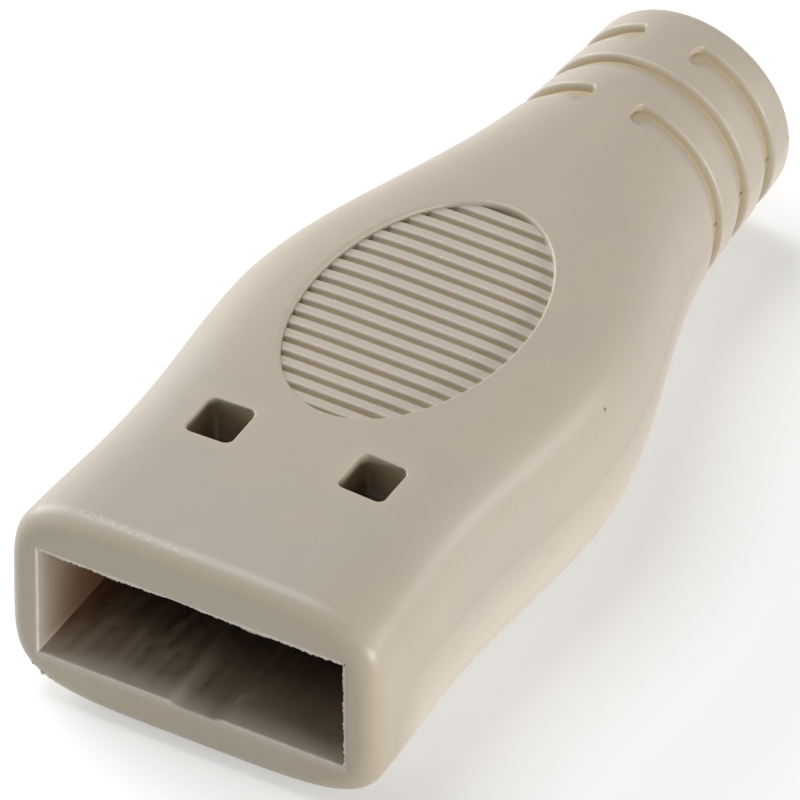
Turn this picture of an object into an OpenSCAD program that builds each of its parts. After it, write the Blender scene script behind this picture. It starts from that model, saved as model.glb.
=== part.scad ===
// Moulded hood for a flat rectangular cable plug: one piece of soft plastic.
// The plug's metal shell slides in at the mouth and its cable leaves through
// the round sleeve. Built with the mouth at the front and the sleeve behind,
// then laid on its belly, with the origin at the middle of its footprint.

/* [Overall] */
// Length from the mouth to the end of the sleeve
hood_l = 34.4; // [33:0.2:40]
// Radius of the rounded edge around the mouth
lip_r = 0.85; // [0.4:0.05:1.1]
// Radius of the rounded edge at the end of the sleeve
end_r = 0.45; // [0.2:0.05:0.8]

/* [Body outline] */
// Width at the mouth
mouth_w = 14.8; // [14.4:0.1:16.5]
// Height at the mouth
mouth_h = 8.45; // [7.8:0.05:10]
// Width at the waist, where fingers hold it
waist_w = 14; // [13.8:0.1:15]
// Distance from the mouth to the waist
waist_y = 7.2; // [5:0.1:9]
// Width at the belly
belly_w = 14.9; // [14.2:0.1:17]
// Height over the belly
belly_h = 8.86; // [8.2:0.02:10.5]
// Distance from the mouth to where the full height starts
belly_start_y = 9.2; // [4:0.1:12]
// Distance from the mouth to the belly, where the neck begins
belly_y = 15.2; // [13:0.1:17]
// Squareness of the section at the mouth (2 is an ellipse)
mouth_square = 4.5; // [3.6:0.1:7]
// Squareness of the section at the belly
belly_square = 3.85; // [3:0.05:6]

/* [Cable sleeve] */
// Distance from the mouth to where the neck has become round
sleeve_y = 29.8; // [27:0.1:31]
// Diameter of the sleeve at the neck
sleeve_d = 8.5; // [7.6:0.05:10]
// Diameter of the sleeve at its end
sleeve_end_d = 7.95; // [7.2:0.05:9]
// Diameter of the cable bore
bore_d = 4.8; // [3:0.1:5.2]

/* [Plug pocket] */
// Width of the pocket
pocket_w = 12.2; // [11:0.05:12.4]
// Height of the pocket
pocket_h = 4.65; // [4.2:0.05:5]
// Depth of the straight part of the pocket
pocket_l = 17.5; // [12:0.1:18]
// Length over which the pocket narrows to the cable bore
funnel_l = 7; // [5:0.1:8]
// Width of the seam channel in the pocket's floor
seam_w = 1.7; // [0.6:0.1:4]
// Depth of the seam channel
seam_depth = 0.15; // [0.05:0.01:0.4]

/* [Latch windows] */
// Width of a window
window_w = 1.75; // [0.8:0.05:3]
// Length of a window
window_l = 1.8; // [0.8:0.05:3]
// Corner radius of a window
window_r = 0.35; // [0.1:0.05:0.39]
// Distance between the middles of the windows
window_gap = 6; // [4:0.1:8]
// Distance from the mouth to the middles of the windows
window_y = 7; // [4:0.1:7.2]

/* [Ribbed panel] */
// Width of the oval panel
panel_w = 8.1; // [5:0.1:10]
// Length of the oval panel
panel_l = 12.8; // [7:0.1:12.8]
// Distance from the mouth to the middle of the panel
panel_y = 15.4; // [15.4:0.1:17]
// Depth from the top of the belly down to the ribs
panel_depth = 0.26; // [0.2:0.02:0.5]
// Distance from one rib to the next
rib_pitch = 0.69; // [0.5:0.01:1.5]
// Width of the groove between two ribs
rib_gap = 0.27; // [0.15:0.01:0.45]
// Depth of the grooves below the rib tops
rib_depth = 0.2; // [0.1:0.01:0.3]

/* [Relief grooves] */
// Distance from the end of the sleeve to the last groove
groove_end_gap = 1.4; // [1:0.1:2]
// Distance from one groove to the next
groove_pitch = 2; // [1.6:0.05:2.2]
// Width of a groove
groove_w = 1; // [0.6:0.05:1.2]
// Depth of a groove
groove_depth = 0.4; // [0.2:0.05:0.7]
// Length of the slope on a groove's mouth side
groove_slope = 0.45; // [0.1:0.05:0.5]
// Width of the bridge left across the first groove
first_bridge_w = 1.4; // [0.8:0.1:3]
// Width of the bridge left across the last groove
last_bridge_w = 1.9; // [0.8:0.1:3]

/* [Hidden] */

cut = 1;                      // how far cutters run past a surface
corner_room = 0.1;            // how far the funnel's wide end clears the pocket's corners
ring_points = 52;             // points around a section, a multiple of 4
ring_step = 0.8;              // distance between two sections
lip_steps = 5;                // sections over the rounded edge at the mouth
end_steps = 3;                // sections over the rounded edge at the sleeve
oval_points = 72;             // points around the oval panel
bore_r = bore_d / 2;
funnel_y = pocket_l + funnel_l;
last_groove_y = hood_l - groove_end_gap - groove_w / 2;
bridges = [first_bridge_w, 0, last_bridge_w];   // one groove each, 0 where it goes all round

// Smooth step from a to b as t goes from 0 to 1
function ease(a, b, t) = a + (b - a) * (1 - cos(180 * min(max(t, 0), 1))) / 2;
function blend(a, b, t) = a + (b - a) * min(max(t, 0), 1);
// How far along y is from one station to the next
function along(y, y0, y1) = (y - y0) / (y1 - y0);

function sleeve_r(y) = blend(sleeve_d, sleeve_end_d, along(y, sleeve_y, hood_l)) / 2;

function half_width(y) =
    y < waist_y ? ease(mouth_w, waist_w, along(y, 0, waist_y)) / 2
    : y < belly_y ? ease(waist_w, belly_w, along(y, waist_y, belly_y)) / 2
    : y < sleeve_y ? ease(belly_w, sleeve_d, along(y, belly_y, sleeve_y)) / 2
    : sleeve_r(y);

function half_height(y) =
    y < belly_start_y ? ease(mouth_h, belly_h, along(y, 0, belly_start_y)) / 2
    : y < belly_y ? belly_h / 2
    : y < sleeve_y ? ease(belly_h, sleeve_d, along(y, belly_y, sleeve_y)) / 2
    : sleeve_r(y);

function squareness(y) =
    y < belly_y ? blend(mouth_square, belly_square, along(y, 0, belly_y))
    : blend(belly_square, 2, along(y, belly_y, sleeve_y));

// Sign-keeping power, for the rounded-rectangle section
function spow(v, e) = sign(v) * pow(abs(v), e);

// One section of the outside, drawn in by inset on every side
function section(y, inset) = [
    for (i = [0 : ring_points - 1])
        let (a = 360 * i / ring_points, e = 2 / squareness(y))
            [(half_width(y) - inset) * spow(cos(a), e), y,
             (half_height(y) - inset) * spow(sin(a), e)]];

// Stations along the hood, each with how far the rounded ends draw it in
function stations() =
    let (y0 = lip_r, y1 = hood_l - end_r, n = ceil((y1 - y0) / ring_step))
    concat(
        [for (i = [0 : lip_steps - 1]) let (a = 90 * i / lip_steps)
            [lip_r * (1 - cos(a)), lip_r * (1 - sin(a))]],
        [for (i = [0 : n]) [y0 + (y1 - y0) * i / n, 0]],
        [for (i = [1 : end_steps]) let (a = 90 * i / end_steps)
            [y1 + end_r * sin(a), end_r * (1 - cos(a))]]);

// Outside form, lofted through the sections, with both ends closed
module outside() {
    rows = stations();
    last = len(rows) - 1;
    n = ring_points;
    points = [for (row = rows) each section(row[0], row[1])];
    sides = [
        for (k = [0 : last - 1], i = [0 : n - 1])
            let (a = k * n + i, b = k * n + (i + 1) % n, c = b + n, d = a + n)
            each (floor(4 * i / n) % 2 == 0 ? [[a, b, c], [a, c, d]] : [[a, b, d], [b, c, d]])];
    front = [[for (i = [0 : n - 1]) n - 1 - i]];
    back = [[for (i = [0 : n - 1]) last * n + i]];
    polyhedron(points, concat(front, sides, back), convexity = 6);
}

// Straight pocket for the plug's shell, with the channel in its floor
module pocket() {
    translate([-pocket_w / 2, -cut, -pocket_h / 2])
        cube([pocket_w, pocket_l + cut, pocket_h]);
    translate([-seam_w / 2, -cut, -pocket_h / 2 - seam_depth])
        cube([seam_w, pocket_l + cut, pocket_h / 2]);
}

// Funnel from the pocket down to the cable bore
module funnel() {
    corner_r = norm([pocket_w, pocket_h]) / 2 + corner_room;
    intersection() {
        translate([0, pocket_l, 0])
            rotate([-90, 0, 0])
                cylinder(h = funnel_l, r1 = corner_r, r2 = bore_r, $fn = 64);
        translate([-pocket_w / 2, pocket_l - cut, -pocket_h / 2])
            cube([pocket_w, funnel_l + 2 * cut, pocket_h]);
    }
}

module cable_bore() {
    translate([0, funnel_y - cut, 0])
        rotate([-90, 0, 0])
            cylinder(h = hood_l - funnel_y + 2 * cut, r = bore_r, $fn = 64);
}

// Window through the top wall into the pocket
module window(x) {
    inner_w = window_w / 2 - window_r;
    inner_l = window_l / 2 - window_r;
    translate([x, window_y, 0])
        linear_extrude(height = belly_h)
            union() {
                square([window_w, 2 * inner_l], center = true);
                square([2 * inner_w, window_l], center = true);
                for (sx = [-1, 1], sy = [-1, 1])
                    translate([sx * inner_w, sy * inner_l])
                        circle(r = window_r, $fn = 24);
            }
}

module oval(floor_z) {
    translate([0, panel_y, floor_z])
        linear_extrude(height = belly_h)
            polygon([for (i = [0 : oval_points - 1]) let (a = 360 * i / oval_points)
                [panel_w / 2 * cos(a), panel_l / 2 * sin(a)]]);
}

// Sunken oval with cross ribs standing on its floor
module ribbed_panel() {
    rib_z = belly_h / 2 - panel_depth;
    count = floor(panel_l / 2 / rib_pitch);
    oval(rib_z);
    intersection() {
        oval(rib_z - rib_depth);
        for (k = [-count : count])
            translate([-panel_w, panel_y + k * rib_pitch - rib_gap / 2, 0])
                cube([2 * panel_w, rib_gap, belly_h]);
    }
}

// Block left standing across a groove, with the groove's round ends cut in it
module bridge(y, width) {
    end_x = (width + groove_w) / 2;
    translate([0, y, -belly_h / 2])
        linear_extrude(height = belly_h)
            difference() {
                square([2 * end_x, groove_w + cut], center = true);
                for (side = [-1, 1])
                    translate([side * end_x, 0])
                        circle(d = groove_w, $fn = 24);
            }
}

// Groove around the sleeve, sloped on its mouth side and steep behind
module relief_groove(y, bridge_w) {
    floor_r = sleeve_r(y) - groove_depth;
    rise = groove_depth + 0.1;
    difference() {
        translate([0, y - groove_w / 2, 0])
            rotate([-90, 0, 0])
                rotate_extrude($fn = 72)
                    polygon([[floor_r, groove_slope], [floor_r + rise, -groove_slope * 0.25],
                             [floor_r + rise + cut, -groove_slope * 0.25],
                             [floor_r + rise + cut, groove_w], [floor_r, groove_w - 0.05]]);
        if (bridge_w > 0) bridge(y, bridge_w);
    }
}

module hood() {
    rows = len(bridges);
    color([0.73, 0.69, 0.63])
        translate([0, -hood_l / 2, belly_h / 2])
            difference() {
                outside();
                pocket();
                funnel();
                cable_bore();
                for (side = [-1, 1])
                    window(side * window_gap / 2);
                ribbed_panel();
                for (k = [0 : rows - 1])
                    relief_groove(last_groove_y - (rows - 1 - k) * groove_pitch, bridges[k]);
            }
}

hood();
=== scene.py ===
# A moulded plastic hood for a flat cable plug, dressed for a plain studio picture.
import bpy
import bmesh
import math
import random
import numpy as np
from mathutils import Matrix, Vector


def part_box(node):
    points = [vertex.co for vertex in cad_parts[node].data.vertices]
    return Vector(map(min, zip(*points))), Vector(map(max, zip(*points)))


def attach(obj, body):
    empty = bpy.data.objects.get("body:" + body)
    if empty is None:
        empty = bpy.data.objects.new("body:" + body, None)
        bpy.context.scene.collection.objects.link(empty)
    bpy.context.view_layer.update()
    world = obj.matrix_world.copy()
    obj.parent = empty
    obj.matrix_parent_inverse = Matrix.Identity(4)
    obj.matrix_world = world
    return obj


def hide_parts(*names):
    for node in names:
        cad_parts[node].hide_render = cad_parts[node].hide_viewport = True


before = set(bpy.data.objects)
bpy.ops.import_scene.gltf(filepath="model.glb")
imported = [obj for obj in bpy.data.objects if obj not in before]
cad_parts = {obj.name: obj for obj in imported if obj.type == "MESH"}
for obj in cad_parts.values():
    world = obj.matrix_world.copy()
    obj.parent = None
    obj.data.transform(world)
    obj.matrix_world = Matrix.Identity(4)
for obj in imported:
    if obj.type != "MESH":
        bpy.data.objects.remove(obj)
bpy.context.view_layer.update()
lowCorner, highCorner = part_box("hood")
mm = 0.001

# Camera
camera = {
    "azimuth": 30.667,       # degrees round from the mouth side
    "elevation": 40.319,     # degrees above the floor
    "roll": -0.437,
    "sensor": 36,            # mm
    "distance": 1.5,         # metres
    "frameWidth": 0.027384,  # width of what it sees at that distance
    "aim": (3.325, 8.586, 6.704),  # what it looks at, in mm from the middle of the mouth
}

# Hood, in mm, measured from the middle of the mouth
hood = {
    "length": (highCorner[1] - lowCorner[1]) / mm,
    "lip": 0.85,             # rounded edge round the mouth
    "endLip": 0.45,          # rounded edge at the end of the sleeve
    "mouthWidth": 14.8,
    "mouthHeight": 8.45,
    "waistWidth": 14.0,
    "waistY": 7.2,
    "bellyWidth": 14.9,
    "bellyHeight": 8.86,
    "bellyStartY": 9.2,
    "bellyY": 15.2,
    "mouthSquare": 4.5,
    "bellySquare": 3.85,
    "sleeveY": 29.8,
    "sleeveWidth": 8.5,
    "sleeveEndWidth": 7.95,
    "boreWidth": 4.8,
    "step": 0.25,            # distance between two sections
    "quarterPoints": 44,     # points on a quarter of a section
    "closeShares": (0, 0.0035, 0.007, 0.012, 0.019),   # closer points at the parting line
    "firstShare": 0.03,      # where the even points start, as a share of the quarter
    "tracePoints": 1200,     # fine points that a quarter's length is measured on
    "lipRings": 10,
    "endRings": 8,
    "ridge": 0.025,          # height of the parting line
    "ridgeWidth": 0.05,
    "ridgeGrows": (1.5, 9.0),    # where it starts and has its full height
    "ridgeEnds": (0.3, 1.0),     # the same, from the end of the sleeve
    "deepest": 2.5,          # depth at which the painted shade of the hollows stops changing
    "sharpAngle": 32,        # degrees between two faces that stay a sharp edge
}


def ease(a, b, t):
    return a + (b - a) * (1 - np.cos(np.pi * np.clip(t, 0, 1))) / 2


def blend(a, b, t):
    return a + (b - a) * np.clip(t, 0, 1)


def along(y, y0, y1):
    return (np.asarray(y, float) - y0) / (y1 - y0)


def sleeveRadius(y):
    return blend(hood["sleeveWidth"], hood["sleeveEndWidth"], along(y, hood["sleeveY"], hood["length"])) / 2


def halfWidth(y):
    h = hood
    y = np.asarray(y, float)
    front = ease(h["mouthWidth"], h["waistWidth"], along(y, 0, h["waistY"])) / 2
    belly = ease(h["waistWidth"], h["bellyWidth"], along(y, h["waistY"], h["bellyY"])) / 2
    neck = ease(h["bellyWidth"], h["sleeveWidth"], along(y, h["bellyY"], h["sleeveY"])) / 2
    stretches = [y < h["waistY"], y < h["bellyY"], y < h["sleeveY"]]
    return np.select(stretches, [front, belly, neck], sleeveRadius(y))


def halfHeight(y):
    h = hood
    y = np.asarray(y, float)
    front = ease(h["mouthHeight"], h["bellyHeight"], along(y, 0, h["bellyStartY"])) / 2
    neck = ease(h["bellyHeight"], h["sleeveWidth"], along(y, h["bellyY"], h["sleeveY"])) / 2
    return np.select([y < h["bellyY"], y < h["sleeveY"]], [front, neck], sleeveRadius(y))


def squareness(y):
    h = hood
    front = blend(h["mouthSquare"], h["bellySquare"], along(y, 0, h["bellyY"]))
    back = blend(h["bellySquare"], 2, along(y, h["bellyY"], h["sleeveY"]))
    return np.where(np.asarray(y) < h["bellyY"], front, back)


def topHeight(x, y):
    # height of the upper surface above the parting plane
    power = squareness(y)
    share = np.clip(np.abs(x) / halfWidth(y), 0, 1)
    return halfHeight(y) * (1 - share ** power) ** (1 / power)


def quarter(y, inset, shares):
    # a quarter of a section, at shares of its length from the side to the top
    a = np.linspace(0, math.pi / 2, hood["tracePoints"])
    power = 2 / squareness(y)
    x = (halfWidth(y) - inset) * np.cos(a).clip(0) ** power
    z = (halfHeight(y) - inset) * np.sin(a).clip(0) ** power
    length = np.concatenate([[0], np.cumsum(np.hypot(np.diff(x), np.diff(z)))])
    length /= length[-1]
    return np.interp(shares, length, x), np.interp(shares, length, z)


def section(y, inset=0.0):
    # one whole section, from the right side over the top and round underneath
    even = np.linspace(hood["firstShare"], 1, hood["quarterPoints"])[:-1]
    shares = np.concatenate([hood["closeShares"], even])
    x, z = quarter(y, inset, np.append(shares, 1))
    up, back = slice(0, len(shares)), slice(len(shares), 0, -1)
    x = np.concatenate([x[up], -x[back], -x[up], x[back]])
    z = np.concatenate([z[up], z[back], -z[up], -z[back]])
    return np.column_stack([x, np.full(len(x), float(y)), z])


def makeMesh(name, points, faces):
    mesh = bpy.data.meshes.new(name)
    mesh.from_pydata([tuple(p) for p in points], [], faces)
    bm = bmesh.new()
    bm.from_mesh(mesh)
    bmesh.ops.recalc_face_normals(bm, faces=bm.faces)
    bm.to_mesh(mesh)
    bm.free()
    piece = bpy.data.objects.new(name, mesh)
    bpy.context.scene.collection.objects.link(piece)
    return piece


def skin(name, rings, loop=False):
    # a closed solid over rings with the same number of points, capped unless it closes on itself
    count = len(rings[0])
    points = np.concatenate(rings)
    faces = []
    for i in range(len(rings) if loop else len(rings) - 1):
        near, far = i * count, (i + 1) % len(rings) * count
        for j in range(count):
            k = (j + 1) % count
            faces.append((near + j, near + k, far + k, far + j))
    if not loop:
        faces.append(tuple(range(count)))
        faces.append(tuple(range(len(points) - count, len(points))))
    return makeMesh(name, points, faces)


def combine(piece, other, operation="DIFFERENCE"):
    change = piece.modifiers.new("change", "BOOLEAN")
    change.operation = operation
    change.solver = "MANIFOLD"
    change.object = other
    bpy.context.view_layer.update()
    graph = bpy.context.evaluated_depsgraph_get()
    mesh = bpy.data.meshes.new_from_object(piece.evaluated_get(graph))
    piece.modifiers.clear()
    print("  ", operation.lower(), other.name, len(piece.data.polygons), "->", len(mesh.polygons))
    piece.data = mesh
    bpy.data.objects.remove(other)
    return piece


def outside():
    h = hood
    rings = []
    for a in np.radians(np.linspace(90, 0, h["lipRings"])):
        rings.append(section(h["lip"] * (1 - math.sin(a)), h["lip"] * (1 - math.cos(a))))
    last = h["length"] - h["endLip"]
    for y in np.arange(h["lip"] + h["step"], last - h["step"] / 2, h["step"]):
        rings.append(section(y))
    for a in np.radians(np.linspace(0, 90, h["endRings"])):
        y = h["length"] - h["endLip"] * (1 - math.sin(a))
        rings.append(section(y, h["endLip"] * (1 - math.cos(a))))
    for ring in rings:
        y = ring[0, 1]
        gone, whole = (h["length"] - gap for gap in h["ridgeEnds"])
        fade = np.clip(along(y, *h["ridgeGrows"]), 0, 1) * np.clip(along(y, gone, whole), 0, 1)
        bump = h["ridge"] * fade * np.exp(-(ring[:, 2] / h["ridgeWidth"]) ** 2)
        ring[:, 0] += np.sign(ring[:, 0]) * bump
    return skin("hood_shell", rings)


# Pocket for the plug, with the channel along its floor and the funnel to the cable bore
pocket = {
    "width": 12.2,
    "height": 4.65,
    "length": 17.5,
    "funnel": 7.0,
    "seamX": 0.08,
    "seamWidth": 1.7,
    "seamDepth": 0.12,
    "seamSlope": 0.35,       # width of the channel's soft sides
    "rough": 0.02,           # unevenness of the floor
    "roughFrom": 2,          # how far in it is fully uneven
    "grainSeed": 4,
    "grainKept": 0.8,        # how much one ring's unevenness is like the last one's
    "grainNew": 0.6,
    "pointGap": 0.2,
    "firstRing": 0.3,
    "funnelRings": 12,
    "opening": ((-1, 0.07), (0, 0.07), (0.02, 0.035), (0.05, 0.012), (0.1, 0)),  # (y, how much wider)
}


def pocketCutter():
    p = pocket
    w, t = p["width"] / 2, p["height"] / 2
    xs = np.arange(-w, w, p["width"] / round(p["width"] / p["pointGap"]))
    zs = np.arange(-t, t, p["height"] / round(p["height"] / p["pointGap"]))
    outline = np.concatenate([
        np.column_stack([xs, np.full(len(xs), -t)]),
        np.column_stack([np.full(len(zs), w), zs]),
        np.column_stack([-xs, np.full(len(xs), t)]),
        np.column_stack([np.full(len(zs), -w), -zs]),
    ])
    floorPoints = np.abs(outline[:, 1] + t) < 1e-6
    side = np.abs(outline[:, 0] - p["seamX"]) - p["seamWidth"] / 2
    channel = np.where(floorPoints, np.clip(0.5 - side / p["seamSlope"], 0, 1), 0)
    channel = channel * channel * (3 - 2 * channel) * p["seamDepth"]
    radius = np.hypot(outline[:, 0], outline[:, 1])
    circle = outline / radius[:, None] * hood["boreWidth"] / 2
    rng = np.random.default_rng(p["grainSeed"])
    grain = rng.normal(0, 1, len(outline))
    rings = []
    for y, out in p["opening"]:
        grown = outline * (1 + out / np.array([w, t]))
        z = grown[:, 1] - channel * (1 + out)
        rings.append(np.column_stack([grown[:, 0], np.full(len(outline), y), z]))
    stations = np.concatenate([np.arange(p["firstRing"], p["length"], p["pointGap"]), [p["length"]]])
    for y in stations:
        grain = p["grainKept"] * grain + p["grainNew"] * rng.normal(0, 1, len(outline))
        rough = np.where(floorPoints, grain * p["rough"] * min(1, y / p["roughFrom"]), 0)
        inner = (np.abs(outline[:, 0]) < w - 0.01)
        z = outline[:, 1] - channel + rough * inner
        rings.append(np.column_stack([outline[:, 0], np.full(len(outline), y), z]))
    for share in np.linspace(0, 1, p["funnelRings"])[1:]:
        shape = outline * (1 - share) + circle * share
        y = p["length"] + p["funnel"] * share
        rings.append(np.column_stack([shape[:, 0], np.full(len(shape), y), shape[:, 1]]))
    rings.append(np.column_stack([circle[:, 0], np.full(len(circle), hood["length"] + 1), circle[:, 1]]))
    return skin("pocket", rings)


# Two small windows through the top
window = {
    "width": 1.84,
    "length": 1.93,
    "corner": 0.3,
    "places": ((-2.89, 6.99), (3.15, 6.99)),
    "edge": 0.08,            # radius of the softened edge
    "cornerPoints": 8,
    "cut": 3.5,              # how deep they are cut
}


def roundedSquare(width, length, corner, count):
    points = []
    for i, (sx, sy) in enumerate(((1, 1), (-1, 1), (-1, -1), (1, -1))):
        cx, cy = sx * (width / 2 - corner), sy * (length / 2 - corner)
        for a in np.linspace(0, 90, count):
            b = math.radians(a + 90 * i)
            points.append((cx + corner * math.cos(b), cy + corner * math.sin(b)))
    return np.array(points)


# How the rims of the windows and the panel are rounded
rim = {
    "points": 5,
    "turn": 72,              # degrees of the rounding, before it runs out straight
    "slope": 18,             # degrees of that straight part
    "rise": 0.3,             # how far the cutter stands over the surface
    "lean": 0.05,
}


def lipProfile(edge, depth):
    # (how far out, how high above the surface) from deep in the hole to just above the surface
    profile = [(0, -depth)]
    for a in np.radians(np.linspace(0, rim["turn"], rim["points"])):
        profile.append((edge * (1 - math.cos(a)), edge * (math.sin(a) - 1)))
    out, up = profile[-1]
    reach = -up / math.tan(math.radians(rim["slope"]))
    profile.append((out + reach, 0.0))
    profile.append((out + reach + rim["lean"], rim["rise"]))
    return profile


def holeCutter(name, outline, place, edge, depth):
    # outline is centred on place; the hole's rim is rounded where it meets the surface
    step = np.roll(outline, -1, 0) - np.roll(outline, 1, 0)
    normal = np.column_stack([step[:, 1], -step[:, 0]])
    normal /= np.linalg.norm(normal, axis=1)[:, None]
    rings = []
    for out, up in lipProfile(edge, depth):
        flat = outline + normal * out + np.array(place)
        z = topHeight(flat[:, 0], flat[:, 1]) + up
        rings.append(np.column_stack([flat, z]))
    return skin(name, rings)


# Oval panel with ribs across it
panel = {
    "width": 8.0,
    "length": 12.6,
    "y": 15.4,
    "depth": 0.18,           # from the surface down to the tops of the ribs
    "ribPitch": 0.69,
    "ribGap": 0.27,
    "ribDepth": 0.22,
    "ribShoulder": 0.13,     # radius of the side of a rib that faces the mouth
    "ribTurns": (15, 35, 55, 75, 90),    # degrees round that side
    "ribFoot": 0.16,         # depth at which that side meets the slope of its foot
    "footSlope": 0.04,
    "backSlope": 0.02,
    "ribsEachWay": 10,
    "edge": 0.13,
    "points": 200,
    "cut": 1.0,              # how deep the oval could be cut, before the ribs are left standing
    "blockHalf": 4.6,        # half the width of the block that the ribs are shaped on
    "blockColumns": 47,
    "blockTop": 6.0,
}


def ribbedFloor():
    # a block above the ribs, which the oval is cut with
    p = panel
    xs = np.linspace(-p["blockHalf"], p["blockHalf"], p["blockColumns"])
    profile = []
    shoulder = p["ribShoulder"]
    for k in range(-p["ribsEachWay"], p["ribsEachWay"] + 1):
        y = p["y"] + k * p["ribPitch"]
        front = y - p["ribGap"] / 2      # sharp back edge of the rib in front of this groove
        foot = y + p["ribGap"] / 2       # foot of the rounded side of the rib behind it
        profile.append((front, 0.0))
        profile.append((front + p["backSlope"], -p["ribDepth"]))
        profile.append((foot - p["footSlope"], -p["ribDepth"]))
        profile.append((foot, -p["ribFoot"]))
        for a in np.radians(p["ribTurns"]):
            at = foot + p["backSlope"] + shoulder * (1 - math.cos(a))
            profile.append((at, -shoulder * (1 - math.sin(a))))
    ys = np.array([q[0] for q in profile])
    downs = np.array([q[1] for q in profile])
    across, endwise = np.meshgrid(xs, ys)
    bottom = topHeight(across, endwise) - p["depth"] + downs[:, None]
    top = np.full_like(bottom, p["blockTop"])
    n, m = across.shape
    points = np.concatenate([
        np.column_stack([across.ravel(), endwise.ravel(), bottom.ravel()]),
        np.column_stack([across.ravel(), endwise.ravel(), top.ravel()]),
    ])
    faces = []
    for i in range(n - 1):
        for j in range(m - 1):
            a, b, c, d = i * m + j, i * m + j + 1, (i + 1) * m + j + 1, (i + 1) * m + j
            faces.append((a, b, c, d))
            faces.append((a + n * m, d + n * m, c + n * m, b + n * m))
    edge = list(range(m)) + [i * m + m - 1 for i in range(1, n)]
    edge += [(n - 1) * m + j for j in range(m - 2, -1, -1)] + [i * m for i in range(n - 2, 0, -1)]
    for a, b in zip(edge, edge[1:] + edge[:1]):
        faces.append((a, b, b + n * m, a + n * m))
    return makeMesh("rib_floor", points, faces)


def panelCutter():
    p = panel
    turn = np.linspace(0, 2 * math.pi, p["points"], endpoint=False)
    oval = np.column_stack([p["width"] / 2 * np.cos(turn), p["length"] / 2 * np.sin(turn)])
    cutter = holeCutter("panel", oval, (0, p["y"]), p["edge"], p["cut"])
    return combine(cutter, ribbedFloor(), "INTERSECT")


# Relief grooves across the sleeve
groove = {
    "walls": (29.0, 31.0, 33.0),    # where the steep side of each groove is
    "depth": 0.3,
    "width": 0.98,
    "lip": 0.16,                    # how far the rounded top of the steep side runs back
    "ends": ((-0.61, 0.77), None, (-0.95, 0.95)),   # where the slots end at the top, None for a full ring
    "endReach": 0.36,               # length of a slot's rounded end
    "slopePoints": 10,
    "slopeShare": 0.92,             # share of the width that the slope takes
    "slopePower": 1.35,             # above 1 it starts gently
    "endLoss": 1.0,                 # how much lower that power is at a slot's end
    "wallPoints": 8,
    "wallTurn": 78,                 # degrees of the rounded top of the steep side
    "overFront": ((0.3, -0.4), (0.1, -0.012)),     # (beyond, depth) of the cutter over the surface
    "overBack": ((0.06, -0.012), (0.15, -0.4)),
    "turnPoints": 240,
    "slotPoints": 110,
    "tips": (0.01, 0.04, 0.1, 0.2, 0.33, 0.5, 0.7, 0.85, 1.0),    # points over a slot's end
    "endFade": (0.6, 2.2),          # where the deeper floor starts to fade, and over what length
    "wobble": 0.012,
    "lean": (0.0, 0.1, 0.09),       # how far each comes towards the mouth on the right
}


def grooveShape(full=0.0):
    # (distance from the steep wall towards the mouth, depth), a slow slope down and a steep wall up;
    # full goes to 1 at the end of a slot, where the floor is as deep on the mouth side
    g = groove
    shape = [(g["width"] + beyond, depth) for beyond, depth in g["overFront"]]
    power = g["slopePower"] - g["endLoss"] * full
    for t in np.linspace(0, 1, g["slopePoints"]):
        shape.append((g["width"] * (1 - g["slopeShare"] * t), g["depth"] * t ** power))
    for a in np.radians(np.linspace(0, g["wallTurn"], g["wallPoints"])):
        shape.append((-g["lip"] * (1 - math.cos(a)), g["depth"] * (1 - math.sin(a))))
    for beyond, depth in g["overBack"]:
        shape.append((-g["lip"] - beyond, depth))
    return np.array(shape)


def grooveRing(a, wall, shape, share):
    middle = groove["width"] / 2
    points = []
    for back, depth in shape:
        off = middle + (back - middle) * share
        y = wall - off
        d = depth * min(1, share * 2) if depth > 0 else depth
        power = 2 / float(squareness(y))
        w, t = float(halfWidth(y)) - d, float(halfHeight(y)) - d
        c, s = math.cos(a), math.sin(a)
        points.append((w * math.copysign(abs(c) ** power, c), y, t * math.copysign(abs(s) ** power, s)))
    return np.array(points)


def grooveCutters(index):
    g = groove
    wall, ends = g["walls"][index], g["ends"][index]
    turns = np.linspace(0, 2 * math.pi, g["turnPoints"], endpoint=False)
    lean = g["lean"][index]
    wander = wall + g["wobble"] * np.sin(turns * 5 + index) * np.cos(turns * 3)
    wander -= lean * np.cos(turns).clip(0) ** 2
    if not ends:
        rings = [grooveRing(a, y, grooveShape(), 1.0) for a, y in zip(turns, wander)]
        return [skin("groove", rings, loop=True)]
    radius = float(sleeveRadius(wall))
    right, left = math.acos(ends[1] / radius), math.acos(ends[0] / radius)
    pieces = []
    for start, stop in ((-right, right), (left, 2 * math.pi - left)):
        reach = g["endReach"] / radius
        tips = reach * np.array(g["tips"])
        inner = np.linspace(start + reach, stop - reach, g["slotPoints"])[1:-1]
        rings = []
        for a in np.concatenate([start + tips, inner, stop - tips[::-1]]):
            gap = min(a - start, stop - a) / reach
            share = math.sqrt(1 - (1 - min(gap, 1)) ** 2)
            fadeFrom, fadeLength = g["endFade"]
            full = float(ease(1, 0, (gap - fadeFrom) / fadeLength))
            at = wall - lean * max(0, math.cos(a)) ** 2
            rings.append(grooveRing(a, at, grooveShape(full), share))
        pieces.append(skin("slot", rings))
    return pieces


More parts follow.
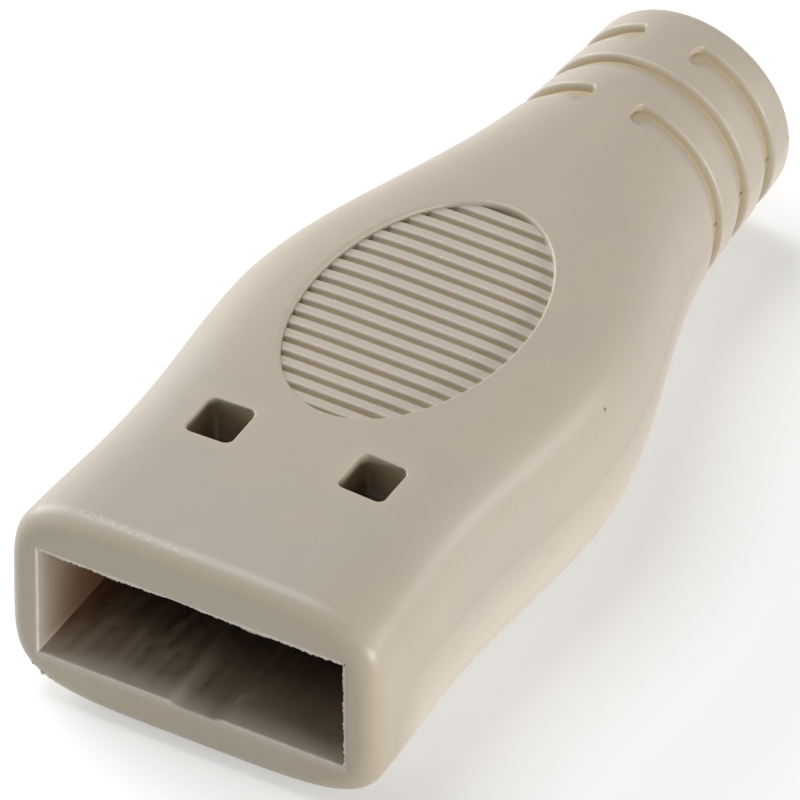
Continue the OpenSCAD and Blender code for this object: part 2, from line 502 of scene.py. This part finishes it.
# Thin uneven film that the mould left round the opening, and its other small burrs
flash = {
    "top": ((-6.1, 0.05), (-5, 0.08), (-4, 0.06), (-3, 0.1), (-1.6, 0.05), (-0.7, 0.0), (-0.2, 0.01),
            (0.5, 0.06), (1.7, 0.08), (2.9, 0.13), (3.1, 0.08), (4.6, 0.09),
            (6.1, 0.06)),    # (x, how far it hangs down)
    "right": ((-2.3, 0.05), (-1, 0.03), (0.6, 0.07), (0.7, 0.03), (2.3, 0.06)),  # (z, how far it stands in)
    "ragged": 0.045,
    "thickness": 0.05,
    "gap": 0.07,             # distance between two teeth of the ragged edge
    "root": 0.12,            # how far it is sunk into the edge
    "front": 0.02,           # distance behind the mouth's face
    "tip": 0.015,            # thickness at its thin edge
    "least": 0.004,
    "fullRagged": 0.05,      # height from which the raggedness is whole
    "leastRagged": 0.3,
    "seeds": (3, 5),
}


def flashStrip(name, knots, seed, placed):
    # placed(s, inward, y) gives the point at s along the edge
    f = flash
    rng = np.random.default_rng(seed)
    stations = np.arange(knots[0][0], knots[-1][0], f["gap"])
    height = np.interp(stations, [k[0] for k in knots], [k[1] for k in knots])
    rough = rng.uniform(-1, 1, len(stations)) * f["ragged"]
    share = np.clip(height / f["fullRagged"], f["leastRagged"], 1)
    reach = np.clip(height + rough * share, f["least"], None)
    front, root = f["front"], -f["root"]
    rings = []
    for at, h in zip(stations, reach):
        rings.append(np.array([placed(at, root, front), placed(at, root, front + f["thickness"]),
                               placed(at, h, front + f["tip"]), placed(at, h, front)]))
    return skin(name, rings)


def flashStrips():
    w, t = pocket["width"] / 2, pocket["height"] / 2
    first, second = flash["seeds"]
    return [
        flashStrip("flash_top", flash["top"], first, lambda s, inward, y: (s, y, t - inward)),
        flashStrip("flash_right", flash["right"], second, lambda s, inward, y: (w - inward, y, s)),
    ]


burrs = {
    "places": (   # (x, y, z, radius)
        (-6.36, 0.22, -3.0, 0.13), (-6.2, 0.24, -3.16, 0.09), (-6.0, 0.2, -3.3, 0.12),
        (-5.72, 0.18, -3.4, 0.08), (-1.96, 7.3, 4.1, 0.11), (-7.06, 0.4, 0.25, 0.13),
        (7.08, 0.4, 0.02, 0.09), (3.9, 34.0, 0.2, 0.12), (3.93, 33.9, 0.32, 0.08),
    ),
    "rough": 0.1,
}


def burrBall(x, y, z, radius):
    bm = bmesh.new()
    bmesh.ops.create_icosphere(bm, subdivisions=3, radius=radius)
    random.seed(int(1000 * radius + 10 * y))
    for v in bm.verts:
        v.co = v.co * (1 + random.uniform(-burrs["rough"], burrs["rough"])) + Vector((x, y, z))
    mesh = bpy.data.meshes.new("burr")
    bm.to_mesh(mesh)
    bm.free()
    piece = bpy.data.objects.new("burr", mesh)
    bpy.context.scene.collection.objects.link(piece)
    return piece


# Thin skins across the grooves, where the two halves of the mould met
web = {
    "bottom": 0.5,           # depth of its foot
    "top": 0.2,              # depth of its edge
    "bottomThickness": 0.04,
    "topThickness": 0.024,
    "front": 0.75,           # how far it runs towards the mouth, as a share of the groove's width
    "back": 0.1,
    "rings": 6,
}


def webAcross(wall, side):
    radius = float(sleeveRadius(wall))
    low, high = side * (radius - web["bottom"]), side * (radius - web["top"])
    thick, thin = web["bottomThickness"] / 2, web["topThickness"] / 2
    rings = []
    for y in np.linspace(wall - groove["width"] * web["front"], wall + web["back"], web["rings"]):
        rings.append(np.array([(low, y, -thick), (low, y, thick), (high, y, thin), (high, y, -thin)]))
    return skin("web", rings)


print("building the hood")
shell = outside()
combine(shell, pocketCutter())
print("cutting the windows, the panel and the grooves")
outline = roundedSquare(window["width"], window["length"], window["corner"], window["cornerPoints"])
for n, place in enumerate(window["places"]):
    combine(shell, holeCutter("window_%d" % n, outline, place, window["edge"], window["cut"]))
combine(shell, panelCutter())
for n in range(len(groove["walls"])):
    for piece in grooveCutters(n):
        combine(shell, piece)
print("adding the webs, the film and the burrs")
for wall in groove["walls"]:
    for side in (-1, 1):
        combine(shell, webAcross(wall, side), "UNION")
for piece in flashStrips() + [burrBall(*b) for b in burrs["places"]]:
    combine(shell, piece, "UNION")

# how far each point lies below the smooth outside, in mm, for the painted shade and highlights of the
# hollows
points = np.array([v.co for v in shell.data.vertices])
px, py, pz = points.T
power = squareness(py)
reach = ((np.abs(px) / halfWidth(py)) ** power + (np.abs(pz) / halfHeight(py)) ** power) ** (1 / power)
below = shell.data.attributes.new("below", "FLOAT", "POINT")
depths = ((1 - reach) * halfHeight(py)).clip(0, hood["deepest"])
below.data.foreach_set("value", depths.astype(np.float32))

# into the part's own frame, in metres
origin = Vector(((lowCorner[0] + highCorner[0]) / 2, lowCorner[1], (lowCorner[2] + highCorner[2]) / 2))
shell.data.transform(Matrix.Translation(origin) @ Matrix.Scale(mm, 4))
shell.data.shade_smooth()
shell.data.set_sharp_from_angle(angle=math.radians(hood["sharpAngle"]))
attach(shell, "root")
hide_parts("hood")


class Wire:
    # the output of a shader node, with ordinary arithmetic
    def __init__(self, socket):
        self.socket = socket
        self.tree = socket.id_data

    def node(self, kind, settings=None, inputs=None, output=0):
        return makeNode(self.tree, kind, settings, inputs, output)

    def math(self, operation, *values):
        return self.node("ShaderNodeMath", {"operation": operation}, dict(enumerate((self,) + values)))

    def __add__(self, other):
        return self.math("ADD", other)

    def __radd__(self, other):
        return self.math("ADD", other)

    def __sub__(self, other):
        return self.math("SUBTRACT", other)

    def __rsub__(self, other):
        return makeNode(self.tree, "ShaderNodeMath", {"operation": "SUBTRACT"}, {0: other, 1: self})

    def __mul__(self, other):
        return self.math("MULTIPLY", other)

    def __rmul__(self, other):
        return self.math("MULTIPLY", other)

    def __truediv__(self, other):
        return self.math("DIVIDE", other)

    def __pow__(self, other):
        return self.math("POWER", other)

    def clamp(self):
        return self.math("MAXIMUM", 0.0).math("MINIMUM", 1.0)

    def absolute(self):
        return self.math("ABSOLUTE")

    def ramp(self, start, end):
        # 0 up to the start and 1 from the end on, which may lie below the start
        return ((self - start) / (end - start)).clamp()


def makeNode(tree, kind, settings=None, inputs=None, output=0):
    made = tree.nodes.new(kind)
    for name, value in (settings or {}).items():
        setattr(made, name, value)
    for name, value in (inputs or {}).items():
        if isinstance(value, Wire):
            tree.links.new(value.socket, made.inputs[name])
        else:
            made.inputs[name].default_value = value
    return Wire(made.outputs[output])


def mixColours(tree, share, first, second):
    return makeNode(tree, "ShaderNodeMix", {"data_type": "RGBA"}, {0: share, 6: first, 7: second}, 2)


# Plastic of the hood
plastic = {
    "colour": (0.515, 0.446, 0.356),
    "coolColour": (0.485, 0.434, 0.362),
    "hollowShadeColour": (0.54, 0.45, 0.305),   # warm painted shade in the grooves
    "ribHighlightColour": (0.60, 0.55, 0.475),      # painted highlight on the tops of the ribs
    "haloGlowColour": (0.57, 0.48, 0.385),     # painted glow round the windows
    "cornerColour": (0.50, 0.415, 0.305),  # at the front right
    "throatShadeColour": (0.45, 0.345, 0.24),   # painted shade just inside the mouth
    "deepShadeColour": (0.15, 0.1, 0.062),      # painted shade inside the pocket
    "darkShadeColour": (0.045, 0.032, 0.024),   # deeper painted shade far inside the pocket
    "frontFloorColour": (0.57, 0.50, 0.42),      # on the pocket's floor near the mouth
    "sideLightColour": (0.68, 0.60, 0.495),     # painted light low on the sides
    "leftCornerShadeColour": (0.19, 0.085, 0.04),     # reddish painted shade in the pocket's left corner
    "shaftShadeColour": (0.13, 0.07, 0.03),     # painted shade in the windows
    # painted highlights on crests and edges, and pale scuffs and specks
    "highlightAndScuffColour": (0.78, 0.74, 0.68),
    "roughness": 0.37,
    "grain": 0.2,
    "grainHeight": 0.00002,  # metres
    "darkSpeckColour": (0.22, 0.12, 0.05),
    "scuff": ((-5.76, 0.72, 3.85), (0.15, 0.46, 4.14)),    # from one point to another
    "insideHalf": (6.25, 2.62),    # half the width and height that count as inside the pocket
    "insideNarrows": 3.7,          # how much narrower that is at the cable bore
    "paleRadius": 0.045,
    "paleSpecks": ((-1.65, 17.18, 4.22), (-0.8, 18.38, 4.22), (-2.76, 14.54, 4.22), (-0.85, 14.91, 4.22),
                   (2.77, 14.24, 4.22), (1.64, 10.15, 4.22), (1.35, 10.64, 4.22)),
    "darkSpecks": (((7.17, 15.9, 2.54), 0.09), ((7.36, 16.66, 0.0), 0.05)),    # (place, radius)
}


def plasticMaterial():
    p = plastic
    material = bpy.data.materials.new("hood_plastic")
    material.use_nodes = True
    tree = material.node_tree
    shader = tree.nodes["Principled BSDF"]
    placed = makeNode(tree, "ShaderNodeTexCoord", output="Object")
    shift = placed.node("ShaderNodeVectorMath", {"operation": "SUBTRACT"}, {0: placed, 1: tuple(origin)})
    spot = shift.node("ShaderNodeVectorMath", {"operation": "SCALE"}, {0: shift, "Scale": 1 / mm})
    x, y, z = (spot.node("ShaderNodeSeparateXYZ", None, {0: spot}, axis) for axis in "XYZ")

    def noise(scale, detail=3.0, stretch=None):
        place = spot
        if stretch:
            place = spot.node("ShaderNodeVectorMath", {"operation": "MULTIPLY"}, {0: spot, 1: stretch})
        return place.node("ShaderNodeTexNoise", None, {"Vector": place, "Scale": scale, "Detail": detail})

    def tint(share, name):
        return mixColours(tree, share, base, (*p[name], 1))

    def nearSpot(point, radius):
        gap = spot.node("ShaderNodeVectorMath", {"operation": "DISTANCE"}, {0: spot, 1: point}, "Value")
        return gap.ramp(radius, radius * 0.6)

    # broad warm and cool patches, with a fine grain over them
    patches = ((noise(0.16, 2.0) - 0.5) * 3.5 + (y + x * 0.4 - 5) / 15).clamp()
    base = mixColours(tree, patches, (*p["coolColour"], 1), (*p["colour"], 1))
    cloud = (noise(0.9, 4.0) - 0.5) * 0.05 + (noise(9.0, 2.0) - 0.5) * 0.05 + 1.0
    base = base.node("ShaderNodeVectorMath", {"operation": "SCALE"}, {0: base, "Scale": cloud})

    # warm painted shade down in the grooves and the panel, and a little on the mouth's face
    depth = makeNode(tree, "ShaderNodeAttribute", {"attribute_name": "below"}, output="Fac")
    start = 0.21 - y.ramp(24, 24.2) * 0.1
    base = tint(((depth - start) * 6).clamp() * y.ramp(1.2, 1.4), "hollowShadeColour")
    base = tint(y.ramp(0.5, 0.25) * 0.35, "hollowShadeColour")

    # painted shade in the shafts of the windows, painted highlights on the tops of the ribs, the front
    # right, and painted light low on the sides
    base = tint(depth.ramp(0.08, 1.38) * y.ramp(5.5, 5.61) * y.ramp(8.4, 8.29) * 0.88, "shaftShadeColour")
    ribTopHighlight = depth.ramp(0.1, 0.1667) * depth.ramp(0.26, 0.1933)
    base = tint(ribTopHighlight * y.ramp(8.9, 9.1) * y.ramp(22, 21.8) * 0.5, "ribHighlightColour")
    base = tint(x.ramp(3.5, 6.5) * y.ramp(7, 1) * 0.6, "cornerColour")
    onTop = depth.ramp(0.08, 0.03)
    base = tint(z.ramp(0.2, -2.0) * onTop * y.ramp(1.5, 3.5) * 0.9, "sideLightColour")

    # a painted glow round each window, and painted highlights along the crests behind the grooves
    for centreX, centreY in window["places"]:
        offX = (x - centreX).absolute()
        offY = (y - centreY).absolute()
        halo = offX.math("MAXIMUM", offY).ramp(1.7, 1.0) * depth.ramp(0.06, 0.0267)
        base = tint(halo * z.ramp(0, 2) * 0.5, "haloGlowColour")
    aside = x.absolute()
    broken = noise(0.5, 2.0).ramp(0.42, 0.62)
    for wall, ends in zip(groove["walls"], groove["ends"]):
        crest = (y - wall - 0.1).absolute().ramp(0.045, 0.015) * onTop
        if ends:
            crest = crest * aside.ramp(ends[1] + 0.1, ends[1] + 0.3)
        base = tint(crest * broken * 0.3, "highlightAndScuffColour")

    # painted shade inside the pocket and its funnel, browner and then darker
    insideX, insideZ = p["insideHalf"]
    narrowing = y.ramp(pocket["length"], pocket["length"] + pocket["funnel"]) * p["insideNarrows"]
    inside = ((insideX - narrowing - aside) * 10).clamp() * z.absolute().ramp(insideZ, insideZ - 0.1)
    base = tint(inside * y.ramp(0, 0.8) * 0.7, "throatShadeColour")
    streaks = (noise(1.6, 4.0, (1.0, 0.25, 1.0)) - 0.5) * 0.5 + (noise(6.0, 3.0) - 0.5) * 0.3 + 1
    base = tint((inside * (y.ramp(0.35, 4.55) ** 0.7) * 0.88 * streaks).clamp(), "deepShadeColour")
    base = tint(inside * y.ramp(2.6, 5.2) * 0.8, "darkShadeColour")

    # its floor is paler near the mouth; painted shade darkens its left wall, and reddish painted shade its
    # left corner
    frontFloor = z.ramp(-2.0, -2.2) * (y.ramp(3.4, 0.1) ** 1.2) * streaks
    base = tint((inside * frontFloor * 0.9).clamp(), "frontFloorColour")
    base = tint(inside * x.ramp(-5.9, -6.025) * y.ramp(0.4, 3.4) * 0.55, "deepShadeColour")
    leftCornerShade = x.ramp(-4.9, -5.7333) * y.ramp(0.8, 2.6) * z.ramp(0.9, -1.1)
    base = tint(inside * leftCornerShade * 0.6, "leftCornerShadeColour")

    # painted highlight along the edge of the opening, pale scuffs and specks
    overX = aside - pocket["width"] / 2
    overZ = z.absolute() - pocket["height"] / 2
    edge = overX.math("MAXIMUM", overZ).absolute()
    pale = edge.ramp(0.085, 0.035) * y.ramp(0.12, 0.07) * (noise(2.5) * 1.3).clamp() * 0.8
    first, second = (Vector(v) for v in p["scuff"])
    run = (x - first.x) / (second.x - first.x)
    offLine = (y - (first.y + run * (second.y - first.y))).absolute()
    scuff = offLine.ramp(0.16, 0.1) * (run * 12).clamp() * ((1 - run) * 12).clamp() * z.ramp(3.2, 3.4)
    pale = pale + scuff * noise(7.0, 4.0).ramp(0.5, 0.625) * 0.3
    for point in p["paleSpecks"]:
        pale = pale + nearSpot(point, p["paleRadius"]) * 0.8
    base = tint(pale.clamp(), "highlightAndScuffColour")
    for point, radius in p["darkSpecks"]:
        base = tint(nearSpot(point, radius), "darkSpeckColour")
    tree.links.new(base.socket, shader.inputs["Base Color"])

    rough = (noise(1.2, 4.0) - 0.5) * 0.12 + p["roughness"]
    tree.links.new(rough.socket, shader.inputs["Roughness"])
    height = noise(3.2, 5.0) * 0.6 + noise(14.0, 2.0) * 0.4
    inputs = {"Strength": p["grain"], "Distance": p["grainHeight"], "Height": height}
    bump = makeNode(tree, "ShaderNodeBump", None, inputs)
    tree.links.new(bump.socket, shader.inputs["Normal"])
    return material


print("making the plastic")
shell.data.materials.clear()
shell.data.materials.append(plasticMaterial())

print("setting the stage")
stage = {
    "size": 1.2,             # half the width of the floor, in metres
    "colour": (0.8, 0.8, 0.8),
    "floorRoughness": 0.9,
    "glow": 0.4,             # how much paler the floor looks to the camera
    "sky": 0.06,             # how much light comes from all round
    "lampDistance": 0.25,
    "lampAim": 0.0044,       # height that the lamps face
}
lamps = (   # (name, degrees to the camera's right, degrees up, width and height in metres, watts)
    ("top", 240, 68, 0.15, 0.15, 0.305),
    ("right_front", 40, 6, 0.14, 0.044, 0.425),
    ("right", 90, 10, 0.13, 0.07, 0.12),
    ("back_left", 225, 22, 0.16, 0.16, 0.4),
    ("left", 270, 22, 0.16, 0.16, 0.08),
)

s = stage["size"]
floorMesh = bpy.data.meshes.new("floor")
floorMesh.from_pydata([(-s, -s, 0), (s, -s, 0), (s, s, 0), (-s, s, 0)], [], [(0, 1, 2, 3)])
floor = bpy.data.objects.new("floor", floorMesh)
bpy.context.scene.collection.objects.link(floor)
floor.location.z = lowCorner[2]
floorMaterial = bpy.data.materials.new("floor")
floorMaterial.use_nodes = True
tree = floorMaterial.node_tree
shader = tree.nodes["Principled BSDF"]
shader.inputs["Base Color"].default_value = (*stage["colour"], 1)
shader.inputs["Roughness"].default_value = stage["floorRoughness"]
shader.inputs["Specular IOR Level"].default_value = 0
shader.inputs["Emission Strength"].default_value = stage["glow"]


def seenDirectly(tree):
    # 1 where the camera sees it, or sees it mirrored or through something
    straight, glossy, through = (makeNode(tree, "ShaderNodeLightPath", output="Is %s Ray" % kind)
                                 for kind in ("Camera", "Glossy", "Transmission"))
    return (straight + glossy + through).clamp()


glow = mixColours(tree, seenDirectly(tree), (0, 0, 0, 1), (1, 1, 1, 1))
tree.links.new(glow.socket, shader.inputs["Emission Color"])
floorMesh.materials.append(floorMaterial)

world = bpy.data.worlds.new("world")
world.use_nodes = True
tree = world.node_tree
tree.nodes.remove(tree.nodes["Background"])
dim = makeNode(tree, "ShaderNodeBackground", None, {"Color": (1, 1, 1, 1), "Strength": stage["sky"]})
white = makeNode(tree, "ShaderNodeBackground", None, {"Color": (1, 1, 1, 1), "Strength": 1})
sky = makeNode(tree, "ShaderNodeMixShader", None, {0: seenDirectly(tree), 1: dim, 2: white})
tree.links.new(sky.socket, tree.nodes["World Output"].inputs["Surface"])
bpy.context.scene.world = world

print("lighting it")
for name, turn, tilt, width, height, power in lamps:
    a, e = math.radians(camera["azimuth"] + turn), math.radians(tilt)
    way = Vector((math.sin(a) * math.cos(e), -math.cos(a) * math.cos(e), math.sin(e)))
    light = bpy.data.lights.new(name, "AREA")
    light.shape = "RECTANGLE"
    light.size = width
    light.size_y = height
    light.energy = power
    lamp = bpy.data.objects.new(name, light)
    bpy.context.scene.collection.objects.link(lamp)
    lamp.location = Vector((0, 0, stage["lampAim"])) + way * stage["lampDistance"]
    lamp.rotation_euler = way.to_track_quat("Z", "Y").to_euler()

print("placing the camera")
c = camera
azimuth, elevation, roll = (math.radians(c[k]) for k in ("azimuth", "elevation", "roll"))
right = Vector((math.cos(azimuth), math.sin(azimuth), 0))
level = math.cos(elevation)
back = Vector((math.sin(azimuth) * level, -math.cos(azimuth) * level, math.sin(elevation)))
up = back.cross(right)
right, up = math.cos(roll) * right + math.sin(roll) * up, math.cos(roll) * up - math.sin(roll) * right
lens = bpy.data.cameras.new("camera")
lens.sensor_width = c["sensor"]
lens.lens = c["sensor"] * c["distance"] / c["frameWidth"]
lens.clip_start = 0.05
lens.clip_end = 20
eye = bpy.data.objects.new("camera", lens)
place = origin + Vector(c["aim"]) * mm + back * c["distance"]
eye.matrix_world = Matrix.Translation(place) @ Matrix((right, up, back)).transposed().to_4x4()
bpy.context.scene.collection.objects.link(eye)
bpy.context.scene.camera = eye
bpy.context.scene.view_settings.view_transform = "Standard"
